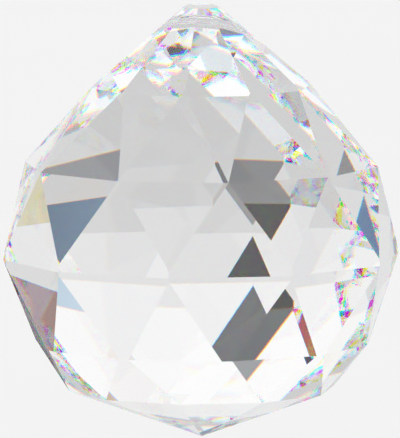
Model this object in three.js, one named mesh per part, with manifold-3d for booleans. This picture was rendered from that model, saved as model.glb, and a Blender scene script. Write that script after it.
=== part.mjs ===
// Faceted hanging crystal ball, a single solid piece of clear glass.
//
// Ten tiers of flat facets run round one upright axis. Every tier has the same number of
// facets. The tiers come in two kinds: those whose facets are centred on the main azimuths,
// and those turned by half a step, so that their facets sit between the main ones. Above the
// girdle (the widest outline) the crown rises to a small flat tip, and a narrow hole for the
// hanging wire crosses that tip. Below the girdle the pavilion closes to a point, the culet.
//
// Millimetres, +Z up, origin at the middle of the hanging hole.

import * as THREE from 'three';
import { mergeVertices } from 'three/addons/utils/BufferGeometryUtils.js';
import Module from 'manifold-3d';

// ---- Driving dimensions --------------------------------------------------------------------

const SIDES = 10;
const GIRDLE_DIAMETER = 40;

// Heights of the rings where tiers meet, above (+) or below (-) the girdle.
const CROWN_RING_HEIGHT = 9.25;
const SHOULDER_RING_HEIGHT = 17.1;
const TIP_HEIGHT = 25.34;
const PAVILION_RING_HEIGHT = -8.63;

// Width of the short facet edges on the pavilion ring.
const PAVILION_SHORT_EDGE = 1.06;

// Slope of each tier: the angle between its facets and the upright axis.
const TIP_SLOPE = 48.25;
const CROWN_DART_SLOPE = 42.77;
const CROWN_PANEL_SLOPE = 37.1;
const CROWN_WEDGE_SLOPE = 18.73;
const CROWN_WALL_SLOPE = 6.95;
const PAVILION_WALL_SLOPE = -14.53;
const PAVILION_WEDGE_SLOPE = -24.52;
const PAVILION_DART_SLOPE = -30.13;
const PAVILION_PANEL_SLOPE = -40.64;
const POINT_SLOPE = -69.27;

// Hanging hole: a plain round bore along X, through the two tip facets that face +X and -X.
const HOLE_DIAMETER = 1.6;
const HOLE_BELOW_TIP = 2.7;
const HOLE_SIDES = 32;
const HOLE_CUTTER_LENGTH = 14;

const CRYSTAL_COLOUR = '#e9edf2';
const CRYSTAL_ROUGHNESS = 0.02;

// ---- Tiers ---------------------------------------------------------------------------------

const STEP = (2 * Math.PI) / SIDES;
const HALF_STEP = STEP / 2;
const CORNER_RATIO = Math.cos(HALF_STEP);

// A tier's facets are tangent to a cone. The cone passes through the given radius and height,
// and its radius shrinks upwards by the tangent of the slope.
function tierThrough(radius, height, slopeDegrees) {
  const fall = Math.tan(THREE.MathUtils.degToRad(slopeDegrees));
  return {
    radiusAt: (z) => radius - (z - height) * fall,
    axisRadius: radius + height * fall,
    fall,
  };
}

// Height at which one tier's cone, scaled, meets another tier's cone, scaled.
function meetingHeight(first, firstScale, second, secondScale) {
  const radiusGap = first.axisRadius * firstScale - second.axisRadius * secondScale;
  return radiusGap / (first.fall * firstScale - second.fall * secondScale);
}

const girdleFlatRadius = (GIRDLE_DIAMETER / 2) * CORNER_RATIO;

const crownWall = tierThrough(girdleFlatRadius, 0, CROWN_WALL_SLOPE);
const crownRingRadius = crownWall.radiusAt(CROWN_RING_HEIGHT);
const crownRingFlatRadius = crownRingRadius * CORNER_RATIO;
const crownWedge = tierThrough(crownRingFlatRadius, CROWN_RING_HEIGHT, CROWN_WEDGE_SLOPE);
const crownPanel = tierThrough(crownRingFlatRadius, CROWN_RING_HEIGHT, CROWN_PANEL_SLOPE);
const crownDart = tierThrough(crownRingRadius, CROWN_RING_HEIGHT, CROWN_DART_SLOPE);
const shoulderRadius = crownDart.radiusAt(SHOULDER_RING_HEIGHT);
const tipFacet = tierThrough(shoulderRadius, SHOULDER_RING_HEIGHT, TIP_SLOPE);

const pavilionWall = tierThrough(girdleFlatRadius, 0, PAVILION_WALL_SLOPE);
const pavilionMainRadius = pavilionWall.radiusAt(PAVILION_RING_HEIGHT);
const pavilionBetweenRadius =
  pavilionMainRadius * CORNER_RATIO + (PAVILION_SHORT_EDGE / 2) * Math.sin(HALF_STEP);
const pavilionWedge = tierThrough(pavilionBetweenRadius, PAVILION_RING_HEIGHT, PAVILION_WEDGE_SLOPE);
const pavilionDart = tierThrough(pavilionBetweenRadius, PAVILION_RING_HEIGHT, PAVILION_DART_SLOPE);
const pavilionPanel = tierThrough(pavilionMainRadius, PAVILION_RING_HEIGHT, PAVILION_PANEL_SLOPE);

const pointRingHeight = meetingHeight(pavilionDart, 1, pavilionPanel, 1 / CORNER_RATIO);
const pointRingRadius = pavilionDart.radiusAt(pointRingHeight);
const pointFacet = tierThrough(pointRingRadius * CORNER_RATIO, pointRingHeight, POINT_SLOPE);
const culetHeight = pointFacet.axisRadius / pointFacet.fall;

// ---- Corners of the cut --------------------------------------------------------------------

const corners = [];

function corner(radius, azimuth, height) {
  corners.push(new THREE.Vector3(radius * Math.cos(azimuth), radius * Math.sin(azimuth), height));
  return corners.length - 1;
}

// One corner on each main azimuth.
function mainRing(radius, height) {
  return Array.from({ length: SIDES }, (_, k) => corner(radius, k * STEP, height));
}

// One corner half a step after each main azimuth.
function betweenRing(radius, height) {
  return Array.from({ length: SIDES }, (_, k) => corner(radius, k * STEP + HALF_STEP, height));
}

// Two corners for each main azimuth, where facets of both kinds are cut at one height.
function doubleRing(mainFlatRadius, betweenFlatRadius, height) {
  const halfEdge = (betweenFlatRadius - mainFlatRadius * CORNER_RATIO) / Math.sin(HALF_STEP);
  const radius = Math.hypot(mainFlatRadius, halfEdge);
  const turn = Math.atan2(halfEdge, mainFlatRadius);
  return {
    before: Array.from({ length: SIDES }, (_, k) => corner(radius, k * STEP - turn, height)),
    after: Array.from({ length: SIDES }, (_, k) => corner(radius, k * STEP + turn, height)),
  };
}

// One corner half a step after each main azimuth, where a main tier's own facets meet.
function mitreRing(tier, height) {
  return betweenRing(tier.radiusAt(height) / CORNER_RATIO, height);
}

const culet = corner(0, 0, culetHeight);
const pointRing = betweenRing(pointRingRadius, pointRingHeight);
const pavilionRing = doubleRing(pavilionMainRadius, pavilionBetweenRadius, PAVILION_RING_HEIGHT);
const pavilionWedgeTips = mitreRing(
  pavilionWall,
  meetingHeight(pavilionWall, 1 / CORNER_RATIO, pavilionWedge, 1),
);
const girdle = mitreRing(crownWall, 0);
const crownWedgeTips = mitreRing(
  crownWall,
  meetingHeight(crownWall, 1 / CORNER_RATIO, crownWedge, 1),
);
const crownRing = mainRing(crownRingRadius, CROWN_RING_HEIGHT);
const shoulderRing = doubleRing(
  shoulderRadius,
  crownPanel.radiusAt(SHOULDER_RING_HEIGHT),
  SHOULDER_RING_HEIGHT,
);
const tipWedges = mitreRing(tipFacet, meetingHeight(tipFacet, 1 / CORNER_RATIO, crownPanel, 1));
const tipRing = mitreRing(tipFacet, TIP_HEIGHT);

// ---- Facets --------------------------------------------------------------------------------

const triangles = [];

// A flat facet, its corners counter-clockwise seen from outside, split into a fan.
function facet(...outline) {
  for (let i = 1; i < outline.length - 1; i += 1) {
    triangles.push(outline[0], outline[i], outline[i + 1]);
  }
}

for (let k = 0; k < SIDES; k += 1) {
  const next = (k + 1) % SIDES;
  const last = (k + SIDES - 1) % SIDES;

  // Pavilion, from the culet up.
  facet(culet, pointRing[k], pointRing[last]);
  facet(pointRing[last], pointRing[k], pavilionRing.after[k], pavilionRing.before[k]);
  facet(pointRing[k], pavilionRing.before[next], pavilionRing.after[k]);
  facet(pavilionRing.after[k], pavilionRing.before[next], pavilionWedgeTips[k]);
  facet(
    pavilionRing.before[k], pavilionRing.after[k], pavilionWedgeTips[k],
    girdle[k], girdle[last], pavilionWedgeTips[last],
  );

  // Crown, from the girdle up.
  facet(girdle[last], girdle[k], crownWedgeTips[k], crownRing[k], crownWedgeTips[last]);
  facet(crownWedgeTips[k], crownRing[next], crownRing[k]);
  facet(
    crownRing[k], crownRing[next], shoulderRing.before[next],
    tipWedges[k], shoulderRing.after[k],
  );
  facet(crownRing[k], shoulderRing.after[k], shoulderRing.before[k]);
  facet(
    shoulderRing.before[k], shoulderRing.after[k], tipWedges[k],
    tipRing[k], tipRing[last], tipWedges[last],
  );
}
facet(...tipRing);

function cutGeometry() {
  const geometry = new THREE.BufferGeometry();
  const positions = corners.flatMap((point) => point.toArray());
  geometry.setAttribute('position', new THREE.Float32BufferAttribute(positions, 3));
  geometry.setIndex(triangles);
  // The origin moves from the girdle's centre up to the middle of the hole.
  geometry.translate(0, 0, HOLE_BELOW_TIP - TIP_HEIGHT);
  return geometry;
}

// ---- Hanging hole --------------------------------------------------------------------------

function holeCutter() {
  const radius = HOLE_DIAMETER / 2;
  const geometry = new THREE.CylinderGeometry(radius, radius, HOLE_CUTTER_LENGTH, HOLE_SIDES);
  geometry.rotateZ(Math.PI / 2);
  return geometry;
}

const wasm = await Module();
wasm.setup();

function toSolid(geometry) {
  const bare = geometry.clone();
  bare.deleteAttribute('normal');
  bare.deleteAttribute('uv');
  const merged = mergeVertices(bare);
  return new wasm.Manifold(new wasm.Mesh({
    numProp: 3,
    vertProperties: new Float32Array(merged.attributes.position.array),
    triVerts: new Uint32Array(merged.index.array),
  }));
}

function toGeometry(solid) {
  const mesh = solid.getMesh();
  const geometry = new THREE.BufferGeometry();
  geometry.setAttribute('position', new THREE.BufferAttribute(mesh.vertProperties, 3));
  geometry.setIndex(new THREE.BufferAttribute(mesh.triVerts, 1));
  geometry.computeVertexNormals();
  return geometry;
}

// ---- The part ------------------------------------------------------------------------------

const crystal = new THREE.MeshStandardMaterial({
  color: CRYSTAL_COLOUR,
  roughness: CRYSTAL_ROUGHNESS,
  metalness: 0,
});

const crystalBall = new THREE.Mesh(
  toGeometry(toSolid(cutGeometry()).subtract(toSolid(holeCutter()))),
  crystal,
);
crystalBall.name = 'crystal_ball';

const suncatcher = new THREE.Group();
suncatcher.add(crystalBall);

export default suncatcher;
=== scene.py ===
"""Looks of a faceted hanging crystal ball: one clear glass piece in a plain pale studio."""

import math

import bmesh
import bpy
from mathutils import Matrix, Vector


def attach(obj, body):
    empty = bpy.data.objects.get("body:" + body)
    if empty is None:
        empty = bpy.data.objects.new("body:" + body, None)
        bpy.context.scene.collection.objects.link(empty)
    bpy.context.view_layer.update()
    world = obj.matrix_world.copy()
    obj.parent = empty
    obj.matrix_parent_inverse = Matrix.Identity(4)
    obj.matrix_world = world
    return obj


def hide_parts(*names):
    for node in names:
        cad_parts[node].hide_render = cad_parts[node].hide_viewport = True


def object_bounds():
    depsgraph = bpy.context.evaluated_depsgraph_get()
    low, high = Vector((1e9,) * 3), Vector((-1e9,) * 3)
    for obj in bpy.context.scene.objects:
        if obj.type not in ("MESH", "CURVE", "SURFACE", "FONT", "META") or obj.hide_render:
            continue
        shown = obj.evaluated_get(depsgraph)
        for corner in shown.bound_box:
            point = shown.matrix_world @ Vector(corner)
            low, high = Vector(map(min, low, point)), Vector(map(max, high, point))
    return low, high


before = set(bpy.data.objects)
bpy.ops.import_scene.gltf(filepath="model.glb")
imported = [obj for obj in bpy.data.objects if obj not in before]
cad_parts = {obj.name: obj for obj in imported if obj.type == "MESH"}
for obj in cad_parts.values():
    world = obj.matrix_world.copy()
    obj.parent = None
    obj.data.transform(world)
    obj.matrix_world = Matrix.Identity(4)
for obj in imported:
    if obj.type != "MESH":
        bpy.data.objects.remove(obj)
cad_low, cad_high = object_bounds()

MM = 0.001

# ---- The cut, in millimetres and degrees --------------------------------------------------

SIDES = 10
STEP = math.tau / SIDES
HALF_STEP = STEP / 2
CORNER_RATIO = math.cos(HALF_STEP)

GIRDLE_DIAMETER = 40
CROWN_RING_HEIGHT = 9.25
SHOULDER_RING_HEIGHT = 17.1
TIP_HEIGHT = 25.34
PAVILION_RING_HEIGHT = -8.63
PAVILION_SHORT_EDGE = 1.06

TIP_SLOPE = 48.25
CROWN_DART_SLOPE = 42.77
CROWN_PANEL_SLOPE = 37.1
CROWN_WEDGE_SLOPE = 18.73
CROWN_WALL_SLOPE = 6.95
PAVILION_WALL_SLOPE = -14.53
PAVILION_WEDGE_SLOPE = -24.52
PAVILION_DART_SLOPE = -30.13
PAVILION_PANEL_SLOPE = -40.64
POINT_SLOPE = -69.27

HOLE_RADIUS = 0.8
HOLE_BELOW_TIP = 2.7
HOLE_SIDES = 48
HOLE_RINGS = 60
HOLE_CUTTER_LENGTH = 14
HOLE_WAVINESS = 0.05

GRIT_SCALE = 1.7
GRIT_DETAIL = 3

EDGE_BEVEL = 0.06
EDGE_SEGMENTS = 2
TIP_RIM_BEVEL = 0.45
TIP_RIM_SEGMENTS = 3

# Corners this close are one corner, and corners this far below the top are still on its rim.
WELD_GAP = 0.001
RIM_DEPTH = 0.01
# Faces that turn less than this are one facet, and edges that turn more than these are bevelled.
FLAT_TURN = math.radians(0.8)
EDGE_TURN = math.radians(3.5)
RIM_TURN = math.radians(10)

GIRDLE_Z = HOLE_BELOW_TIP - TIP_HEIGHT


class Tier:
    """Ten facets tangent to one cone, through a radius and height, at a slope to the axis."""

    def __init__(self, radius, height, slope):
        self.fall = math.tan(math.radians(slope))
        self.axis_radius = radius + height * self.fall

    def radius_at(self, height):
        return self.axis_radius - height * self.fall


def meeting_height(first, first_scale, second, second_scale):
    """Height at which one tier's cone, scaled, meets another tier's cone, scaled."""
    radius_gap = first.axis_radius * first_scale - second.axis_radius * second_scale
    return radius_gap / (first.fall * first_scale - second.fall * second_scale)


def mitre(name, tier, height):
    """A ring of corners between the main azimuths, where a tier's own facets meet."""
    return [(name, tier.radius_at(height) / CORNER_RATIO, height, HALF_STEP)]


def double(name, main_radius, between_radius, height):
    """A ring with two corners for each main azimuth, where both kinds of facet are cut."""
    half_edge = (between_radius - main_radius * CORNER_RATIO) / math.sin(HALF_STEP)
    radius = math.hypot(main_radius, half_edge)
    turn = math.atan2(half_edge, main_radius)
    return [(name + " before", radius, height, -turn), (name + " after", radius, height, turn)]


def corner_rings():
    """Every ring of corners as (name, radius, height, turn), with heights from the girdle."""
    girdle_flat = GIRDLE_DIAMETER / 2 * CORNER_RATIO
    wall = Tier(girdle_flat, 0, CROWN_WALL_SLOPE)
    ring_radius = wall.radius_at(CROWN_RING_HEIGHT)
    wedge = Tier(ring_radius * CORNER_RATIO, CROWN_RING_HEIGHT, CROWN_WEDGE_SLOPE)
    panel = Tier(ring_radius * CORNER_RATIO, CROWN_RING_HEIGHT, CROWN_PANEL_SLOPE)
    dart = Tier(ring_radius, CROWN_RING_HEIGHT, CROWN_DART_SLOPE)
    shoulder = dart.radius_at(SHOULDER_RING_HEIGHT)
    tip = Tier(shoulder, SHOULDER_RING_HEIGHT, TIP_SLOPE)

    low_wall = Tier(girdle_flat, 0, PAVILION_WALL_SLOPE)
    main = low_wall.radius_at(PAVILION_RING_HEIGHT)
    between = main * CORNER_RATIO + PAVILION_SHORT_EDGE / 2 * math.sin(HALF_STEP)
    low_wedge = Tier(between, PAVILION_RING_HEIGHT, PAVILION_WEDGE_SLOPE)
    low_dart = Tier(between, PAVILION_RING_HEIGHT, PAVILION_DART_SLOPE)
    low_panel = Tier(main, PAVILION_RING_HEIGHT, PAVILION_PANEL_SLOPE)
    point_height = meeting_height(low_dart, 1, low_panel, 1 / CORNER_RATIO)
    point_radius = low_dart.radius_at(point_height)
    point = Tier(point_radius * CORNER_RATIO, point_height, POINT_SLOPE)

    return [
        ("Culet", 0, point.axis_radius / point.fall, 0),
        ("Point ring", point_radius, point_height, HALF_STEP),
        *double("Pavilion ring", main, between, PAVILION_RING_HEIGHT),
        *mitre(
            "Pavilion wedges", low_wall,
            meeting_height(low_wall, 1 / CORNER_RATIO, low_wedge, 1),
        ),
        *mitre("Girdle", wall, 0),
        *mitre("Crown wedges", wall, meeting_height(wall, 1 / CORNER_RATIO, wedge, 1)),
        ("Crown ring", ring_radius, CROWN_RING_HEIGHT, 0),
        *double(
            "Shoulder ring", shoulder, panel.radius_at(SHOULDER_RING_HEIGHT),
            SHOULDER_RING_HEIGHT,
        ),
        *mitre("Tip wedges", tip, meeting_height(tip, 1 / CORNER_RATIO, panel, 1)),
        *mitre("Tip ring", tip, TIP_HEIGHT),
    ]


# ---- Node helpers -------------------------------------------------------------------------


def add_node(tree, kind, **settings):
    """A new node with its properties set."""
    made = tree.nodes.new(kind)
    for name, value in settings.items():
        setattr(made, name, value)
    return made


def connect(tree, source, target):
    tree.links.new(source, target)


# ---- Shape --------------------------------------------------------------------------------


def ball_tree(rings, material, hole_material):
    """Geometry nodes: the hull of the corner rings, less the hanging hole."""
    tree = bpy.data.node_groups.new("faceted_ball", "GeometryNodeTree")
    values = {}

    def named_input(name, kind, value):
        socket = tree.interface.new_socket(name=name, in_out="INPUT", socket_type=kind)
        values[socket.identifier] = value
        return socket.name

    tree.interface.new_socket(name="Geometry", in_out="OUTPUT", socket_type="NodeSocketGeometry")
    sides = named_input("Sides", "NodeSocketInt", SIDES)
    sizes = {
        name: named_input(name, "NodeSocketFloat", value)
        for name, value in (
            ("Hole radius", HOLE_RADIUS),
            ("Hole length", HOLE_CUTTER_LENGTH),
            ("Hole waviness", HOLE_WAVINESS),
        )
    }
    for name, radius, height, turn in rings:
        named_input(name + " radius", "NodeSocketFloat", radius)
        named_input(name + " height", "NodeSocketFloat", height + GIRDLE_Z)
        named_input(name + " turn", "NodeSocketFloat", turn)

    given = add_node(tree, "NodeGroupInput").outputs
    corners = add_node(tree, "GeometryNodeJoinGeometry")
    for name, radius, _height, _turn in rings:
        place = add_node(tree, "ShaderNodeCombineXYZ")
        connect(tree, given[name + " height"], place.inputs["Z"])
        spin = add_node(tree, "ShaderNodeCombineXYZ")
        connect(tree, given[name + " turn"], spin.inputs["Z"])
        if radius > 0:
            ring = add_node(tree, "GeometryNodeMeshCircle")
            connect(tree, given[sides], ring.inputs["Vertices"])
            connect(tree, given[name + " radius"], ring.inputs["Radius"])
        else:
            ring = add_node(tree, "GeometryNodeMeshLine")
            ring.inputs["Count"].default_value = 1
        moved = add_node(tree, "GeometryNodeTransform")
        connect(tree, ring.outputs[0], moved.inputs["Geometry"])
        connect(tree, place.outputs[0], moved.inputs["Translation"])
        connect(tree, spin.outputs[0], moved.inputs["Rotation"])
        connect(tree, moved.outputs[0], corners.inputs[0])
    hull = add_node(tree, "GeometryNodeConvexHull")
    connect(tree, corners.outputs[0], hull.inputs[0])
    cut_faces = add_node(tree, "GeometryNodeSetMaterial")
    cut_faces.inputs["Material"].default_value = material
    connect(tree, hull.outputs[0], cut_faces.inputs["Geometry"])

    drill = add_node(tree, "GeometryNodeMeshCylinder")
    drill.inputs["Vertices"].default_value = HOLE_SIDES
    drill.inputs["Side Segments"].default_value = HOLE_RINGS
    connect(tree, given[sizes["Hole radius"]], drill.inputs["Radius"])
    connect(tree, given[sizes["Hole length"]], drill.inputs["Depth"])
    grit = add_node(tree, "ShaderNodeTexNoise")
    grit.inputs["Scale"].default_value = GRIT_SCALE
    grit.inputs["Detail"].default_value = GRIT_DETAIL
    centred = add_node(tree, "ShaderNodeMath", operation="SUBTRACT")
    centred.inputs[1].default_value = 0.5
    connect(tree, grit.outputs[0], centred.inputs[0])
    depth = add_node(tree, "ShaderNodeMath", operation="MULTIPLY")
    connect(tree, centred.outputs[0], depth.inputs[0])
    connect(tree, given[sizes["Hole waviness"]], depth.inputs[1])
    outward = add_node(tree, "GeometryNodeInputNormal")
    push = add_node(tree, "ShaderNodeVectorMath", operation="SCALE")
    connect(tree, outward.outputs[0], push.inputs[0])
    connect(tree, depth.outputs[0], push.inputs["Scale"])
    wavy = add_node(tree, "GeometryNodeSetPosition")
    connect(tree, drill.outputs[0], wavy.inputs["Geometry"])
    connect(tree, push.outputs[0], wavy.inputs["Offset"])
    laid = add_node(tree, "GeometryNodeTransform")
    laid.inputs["Rotation"].default_value = (0, math.pi / 2, 0)
    connect(tree, wavy.outputs[0], laid.inputs["Geometry"])
    ground = add_node(tree, "GeometryNodeSetMaterial")
    ground.inputs["Material"].default_value = hole_material
    connect(tree, laid.outputs[0], ground.inputs["Geometry"])

    bored = add_node(tree, "GeometryNodeMeshBoolean", operation="DIFFERENCE", solver="EXACT")
    connect(tree, cut_faces.outputs[0], bored.inputs["Mesh 1"])
    connect(tree, ground.outputs[0], bored.inputs["Mesh 2"])
    metres = add_node(tree, "GeometryNodeTransform")
    metres.inputs["Scale"].default_value = (MM, MM, MM)
    connect(tree, bored.outputs[0], metres.inputs["Geometry"])
    realised = add_node(tree, "GeometryNodeRealizeInstances")
    connect(tree, metres.outputs[0], realised.inputs[0])
    result = add_node(tree, "NodeGroupOutput")
    connect(tree, realised.outputs[0], result.inputs[0])
    return tree, values


def crystal_mesh(material, hole_material):
    """The finished mesh of the ball, from its geometry nodes, with bevelled edges."""
    tree, values = ball_tree(corner_rings(), material, hole_material)
    maker = bpy.data.objects.new("ball_maker", bpy.data.meshes.new("ball_maker"))
    bpy.context.scene.collection.objects.link(maker)
    modifier = maker.modifiers.new("faceted_ball", "NODES")
    modifier.node_group = tree
    for identifier, value in values.items():
        modifier[identifier] = value
    graph = bpy.context.evaluated_depsgraph_get()
    mesh = bpy.data.meshes.new_from_object(maker.evaluated_get(graph), depsgraph=graph)
    bpy.data.objects.remove(maker)

    work = bmesh.new()
    work.from_mesh(mesh)
    bmesh.ops.remove_doubles(work, verts=work.verts, dist=WELD_GAP * MM)
    hole_slot = mesh.materials.find(hole_material.name)
    flat = [e for e in work.edges if all(f.material_index != hole_slot for f in e.link_faces)]
    bmesh.ops.dissolve_limit(
        work, angle_limit=FLAT_TURN, verts=work.verts, edges=flat,
        use_dissolve_boundaries=False, delimit={"MATERIAL"},
    )
    top = max(v.co.z for v in work.verts)
    rim = [e for e in work.edges if all(top - v.co.z < RIM_DEPTH * MM for v in e.verts)]
    rim = [e for e in rim if e.is_manifold and e.calc_face_angle() > RIM_TURN]
    bmesh.ops.bevel(
        work, geom=rim, offset=TIP_RIM_BEVEL * MM, segments=TIP_RIM_SEGMENTS, profile=0.5,
        affect="EDGES", clamp_overlap=True,
    )
    sharp = [
        e for e in work.edges
        if e.is_manifold and e.calc_face_angle() > EDGE_TURN
        and any(f.material_index != hole_slot for f in e.link_faces)
        and top - max(v.co.z for v in e.verts) > RIM_DEPTH * MM
    ]
    bmesh.ops.bevel(
        work, geom=sharp, offset=EDGE_BEVEL * MM, segments=EDGE_SEGMENTS, profile=0.5,
        affect="EDGES", clamp_overlap=True,
    )
    bmesh.ops.recalc_face_normals(work, faces=work.faces)
    for face in work.faces:
        face.smooth = False
    work.to_mesh(mesh)
    work.free()
    mesh.name = "crystal_drop"
    return mesh


# ---- Materials ----------------------------------------------------------------------------

GLASS_IOR = 1.517
# Wear on the polished facets and in the ground hole: range of roughness, streaks of the
# marks along each axis (marks per metre), and their depth.
POLISH_HAZE = 0.012
POLISH_STREAK = (900, 900, 900)
POLISH_DEPTH = 0.0006
HOLE_SMOOTH = 0.18
HOLE_ROUGH = 0.4
HOLE_STREAK = (9000, 1500, 1500)
HOLE_DEPTH = 0.02
# The part of the noise's range over which wear grows from least to most.
WEAR_START = 0.55
WEAR_END = 0.8
WEAR_DETAIL = 4
CLEAR = (1, 1, 1, 1)
HOLE_TINT = (0.96, 0.97, 0.98, 1)

# Red, green and blue light bend by slightly different amounts where they enter the crystal.
SPECTRUM = (
    ("red", (1, 0, 0, 1), 1.507),
    ("green", (0, 1, 0, 1), 1.517),
    ("blue", (0, 0, 1, 1), 1.527),
)


def split_colours(tree, wear):
    """A glass shader for each of the three colours, added together."""
    together = None
    for name, colour, ior in SPECTRUM:
        glass = add_node(tree, "ShaderNodeBsdfGlass", name=name + " glass")
        glass.inputs["Color"].default_value = colour
        connect(tree, wear["Roughness"], glass.inputs["Roughness"])
        connect(tree, wear["Normal"], glass.inputs["Normal"])
        glass.inputs["IOR"].default_value = ior
        if together is None:
            together = glass.outputs[0]
            continue
        adder = add_node(tree, "ShaderNodeAddShader")
        connect(tree, together, adder.inputs[0])
        connect(tree, glass.outputs[0], adder.inputs[1])
        together = adder.outputs[0]
    return together


def wear_group():
    """Shader node group: fine polishing marks and faint waves on cut glass."""
    tree = bpy.data.node_groups.new("polishing_wear", "ShaderNodeTree")
    faces = tree.interface
    faces.new_socket(name="Least", in_out="INPUT", socket_type="NodeSocketFloat")
    faces.new_socket(name="Most", in_out="INPUT", socket_type="NodeSocketFloat")
    faces.new_socket(name="Streak", in_out="INPUT", socket_type="NodeSocketVector")
    faces.new_socket(name="Depth", in_out="INPUT", socket_type="NodeSocketFloat")
    faces.new_socket(name="Roughness", in_out="OUTPUT", socket_type="NodeSocketFloat")
    faces.new_socket(name="Normal", in_out="OUTPUT", socket_type="NodeSocketVector")
    given = add_node(tree, "NodeGroupInput").outputs
    result = add_node(tree, "NodeGroupOutput").inputs
    place = add_node(tree, "ShaderNodeTexCoord")
    stretched = add_node(tree, "ShaderNodeVectorMath", operation="MULTIPLY")
    connect(tree, place.outputs["Object"], stretched.inputs[0])
    connect(tree, given["Streak"], stretched.inputs[1])
    marks = add_node(tree, "ShaderNodeTexNoise")
    marks.inputs["Scale"].default_value = 1
    marks.inputs["Detail"].default_value = WEAR_DETAIL
    connect(tree, stretched.outputs[0], marks.inputs["Vector"])
    worn = add_node(tree, "ShaderNodeMapRange")
    worn.inputs["From Min"].default_value = WEAR_START
    worn.inputs["From Max"].default_value = WEAR_END
    connect(tree, marks.outputs[0], worn.inputs["Value"])
    connect(tree, given["Least"], worn.inputs["To Min"])
    connect(tree, given["Most"], worn.inputs["To Max"])
    connect(tree, worn.outputs[0], result["Roughness"])
    dent = add_node(tree, "ShaderNodeBump")
    dent.inputs["Distance"].default_value = MM
    connect(tree, given["Depth"], dent.inputs["Strength"])
    connect(tree, marks.outputs[0], dent.inputs["Height"])
    connect(tree, dent.outputs[0], result["Normal"])
    return tree


def worn_look(tree, group, least, most, streak, depth):
    """The wear group, set for one material."""
    wear = add_node(tree, "ShaderNodeGroup", node_tree=group)
    wear.inputs["Least"].default_value = least
    wear.inputs["Most"].default_value = most
    wear.inputs["Streak"].default_value = streak
    wear.inputs["Depth"].default_value = depth
    return wear.outputs


def polished_glass(group):
    """Clear cut glass that splits colours where the eye first meets it."""
    material = bpy.data.materials.new("polished_crystal")
    material.use_nodes = True
    tree = material.node_tree
    shader = tree.nodes["Principled BSDF"]
    shader.inputs["Base Color"].default_value = CLEAR
    shader.inputs["Transmission Weight"].default_value = 1
    shader.inputs["IOR"].default_value = GLASS_IOR
    wear = worn_look(tree, group, 0, POLISH_HAZE, POLISH_STREAK, POLISH_DEPTH)
    connect(tree, wear["Roughness"], shader.inputs["Roughness"])
    connect(tree, wear["Normal"], shader.inputs["Normal"])
    path = add_node(tree, "ShaderNodeLightPath")
    mix = add_node(tree, "ShaderNodeMixShader")
    connect(tree, path.outputs["Is Camera Ray"], mix.inputs[0])
    connect(tree, shader.outputs[0], mix.inputs[1])
    connect(tree, split_colours(tree, wear), mix.inputs[2])
    connect(tree, mix.outputs[0], tree.nodes["Material Output"].inputs["Surface"])
    return material


def ground_glass(group):
    """Frosted glass of the drilled hole, streaked along its length."""
    material = bpy.data.materials.new("ground_hole")
    material.use_nodes = True
    tree = material.node_tree
    shader = tree.nodes["Principled BSDF"]
    shader.inputs["Base Color"].default_value = HOLE_TINT
    shader.inputs["Transmission Weight"].default_value = 1
    shader.inputs["IOR"].default_value = GLASS_IOR
    wear = worn_look(tree, group, HOLE_SMOOTH, HOLE_ROUGH, HOLE_STREAK, HOLE_DEPTH)
    connect(tree, wear["Roughness"], shader.inputs["Roughness"])
    connect(tree, wear["Normal"], shader.inputs["Normal"])
    return material


# ---- Studio -------------------------------------------------------------------------------

CAMERA_DISTANCE = 1.335
CAMERA_AZIMUTH = 9.34
CAMERA_ELEVATION = 6.31
CAMERA_ROLL = -0.13
VIEW_HEIGHT = 0.04384
AIM_ABOVE_GIRDLE = 3.73
AIM_LEFT = 0.13

FLOOR_HALF = 3.0
FLOOR_BELOW = 0.06
FLOOR_SCALE = 6
FLOOR_DETAIL = 6
FLOOR_ROUGHNESS = 0.9
FLOOR_SHADES = ((0.93, 0.93, 0.93, 1), (0.96, 0.96, 0.96, 1))
WORLD_LIGHT = 1.15
HIGH_LIGHT = (1, 1, 1, 1)
GROUND_LIGHT = (0.6, 0.6, 0.6, 1)
# Reaches up and down are parts of the unit sphere round the ball.
GRADIENT_REACH = 0.5
FLAG_LIGHT = (0.06, 0.06, 0.06, 1)
FLAG_COUNT = 10
FLAG_EDGE = 0.7
FLAG_SOFTNESS = 0.2
FLAG_REACH = 0.4
MAX_BOUNCES = 24


def place_camera():
    """A long lens on the ball, from in front and a little above and to its right."""
    azimuth = math.radians(CAMERA_AZIMUTH)
    elevation = math.radians(CAMERA_ELEVATION)
    back = Vector((
        math.sin(azimuth) * math.cos(elevation),
        -math.cos(azimuth) * math.cos(elevation),
        math.sin(elevation),
    ))
    roll = Matrix.Rotation(math.radians(CAMERA_ROLL), 3, back)
    right = roll @ Vector((math.cos(azimuth), math.sin(azimuth), 0))
    up = back.cross(right)
    aim = Vector((0, 0, (GIRDLE_Z + AIM_ABOVE_GIRDLE) * MM)) - right * AIM_LEFT * MM
    data = bpy.data.cameras.new("camera")
    data.sensor_width = 36
    data.lens = data.sensor_width * CAMERA_DISTANCE / VIEW_HEIGHT
    data.clip_start = 0.1
    data.clip_end = 10
    camera = bpy.data.objects.new("camera", data)
    camera.location = aim + back * CAMERA_DISTANCE
    camera.rotation_mode = "QUATERNION"
    camera.rotation_quaternion = Matrix((right, up, back)).transposed().to_quaternion()
    bpy.context.scene.collection.objects.link(camera)
    bpy.context.scene.camera = camera


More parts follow.
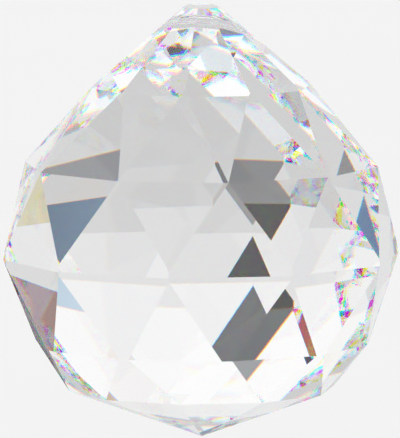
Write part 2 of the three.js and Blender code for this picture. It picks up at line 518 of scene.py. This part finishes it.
def lay_floor():
    """A plain pale floor under the ball, kept out of what the glass shows."""
    half = FLOOR_HALF
    height = cad_low.z - FLOOR_BELOW
    mesh = bpy.data.meshes.new("floor")
    mesh.from_pydata(
        [(x, y, height) for x, y in ((-half, -half), (half, -half), (half, half), (-half, half))],
        [], [(0, 1, 2, 3)],
    )
    floor = bpy.data.objects.new("floor", mesh)
    material = bpy.data.materials.new("pale_floor")
    material.use_nodes = True
    shader = material.node_tree.nodes["Principled BSDF"]
    shader.inputs["Roughness"].default_value = FLOOR_ROUGHNESS
    tree = material.node_tree
    paper = add_node(tree, "ShaderNodeTexNoise")
    paper.inputs["Scale"].default_value = FLOOR_SCALE
    paper.inputs["Detail"].default_value = FLOOR_DETAIL
    place = add_node(tree, "ShaderNodeTexCoord")
    connect(tree, place.outputs["Object"], paper.inputs["Vector"])
    shade = add_node(tree, "ShaderNodeMix", data_type="RGBA")
    shade.inputs["A"].default_value = FLOOR_SHADES[0]
    shade.inputs["B"].default_value = FLOOR_SHADES[1]
    connect(tree, paper.outputs[0], shade.inputs["Factor"])
    connect(tree, shade.outputs["Result"], shader.inputs["Base Color"])
    mesh.materials.append(material)
    floor.visible_glossy = False
    floor.visible_transmission = False
    bpy.context.scene.collection.objects.link(floor)


def math_node(tree, operation, first, second):
    """A maths node whose inputs are sockets or plain numbers."""
    made = add_node(tree, "ShaderNodeMath", operation=operation)
    for socket, given in zip(made.inputs, (first, second)):
        if isinstance(given, (int, float)):
            socket.default_value = given
        else:
            connect(tree, given, socket)
    return made.outputs[0]


def soft_step(tree, source, start, end):
    """Rises softly from 0 to 1 as the source goes from start to end."""
    step = add_node(tree, "ShaderNodeMapRange", interpolation_type="SMOOTHSTEP")
    step.inputs["From Min"].default_value = start
    step.inputs["From Max"].default_value = end
    connect(tree, source, step.inputs["Value"])
    return step.outputs[0]


def colour_mix(tree, factor, first, second):
    """A mix of two colours, each a socket or a plain colour."""
    mix = add_node(tree, "ShaderNodeMix", data_type="RGBA")
    connect(tree, factor, mix.inputs["Factor"])
    for name, given in (("A", first), ("B", second)):
        if isinstance(given, tuple):
            mix.inputs[name].default_value = given
        else:
            connect(tree, given, mix.inputs[name])
    return mix.outputs["Result"]


def light_world():
    """Soft neutral light, brighter above, with dark flags at even steps round the ball.

    Clear glass shows only what stands round it, so the flags give its facets an outline. They
    are plain greys, and the camera sees an even white behind the ball.
    """
    world = bpy.data.worlds.new("studio")
    bpy.context.scene.world = world
    world.use_nodes = True
    tree = world.node_tree
    place = add_node(tree, "ShaderNodeTexCoord")
    parts = add_node(tree, "ShaderNodeSeparateXYZ")
    connect(tree, place.outputs["Generated"], parts.inputs[0])
    rise = soft_step(tree, parts.outputs["Z"], -GRADIENT_REACH, GRADIENT_REACH)
    open_light = colour_mix(tree, rise, GROUND_LIGHT, HIGH_LIGHT)
    azimuth = math_node(tree, "ARCTAN2", parts.outputs["Y"], parts.outputs["X"])
    wave = math_node(tree, "COSINE", math_node(tree, "MULTIPLY", azimuth, FLAG_COUNT), 0)
    upright = soft_step(tree, wave, FLAG_EDGE - FLAG_SOFTNESS, FLAG_EDGE + FLAG_SOFTNESS)
    height = math_node(tree, "ABSOLUTE", parts.outputs["Z"], 0)
    low = soft_step(tree, height, FLAG_REACH + FLAG_SOFTNESS, FLAG_REACH - FLAG_SOFTNESS)
    flag = math_node(tree, "MULTIPLY", upright, low)
    surround = add_node(tree, "ShaderNodeBackground", name="surround")
    connect(tree, colour_mix(tree, flag, open_light, FLAG_LIGHT), surround.inputs["Color"])
    backdrop = tree.nodes["Background"]
    backdrop.inputs["Color"].default_value = CLEAR
    backdrop.inputs["Strength"].default_value = WORLD_LIGHT
    path = add_node(tree, "ShaderNodeLightPath")
    seen = add_node(tree, "ShaderNodeMixShader")
    connect(tree, path.outputs["Is Camera Ray"], seen.inputs[0])
    connect(tree, surround.outputs[0], seen.inputs[1])
    connect(tree, backdrop.outputs[0], seen.inputs[2])
    connect(tree, seen.outputs[0], tree.nodes["World Output"].inputs["Surface"])


place_camera()
lay_floor()
light_world()

scene_cycles = bpy.context.scene.cycles
scene_cycles.max_bounces = MAX_BOUNCES
scene_cycles.glossy_bounces = MAX_BOUNCES
scene_cycles.transmission_bounces = MAX_BOUNCES

wear = wear_group()
polished = polished_glass(wear)
ground = ground_glass(wear)
ball = bpy.data.objects.new("crystal_drop", crystal_mesh(polished, ground))
bpy.context.scene.collection.objects.link(ball)
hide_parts("crystal_ball")
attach(ball, "root")

bpy.context.scene.view_settings.view_transform = "Standard"
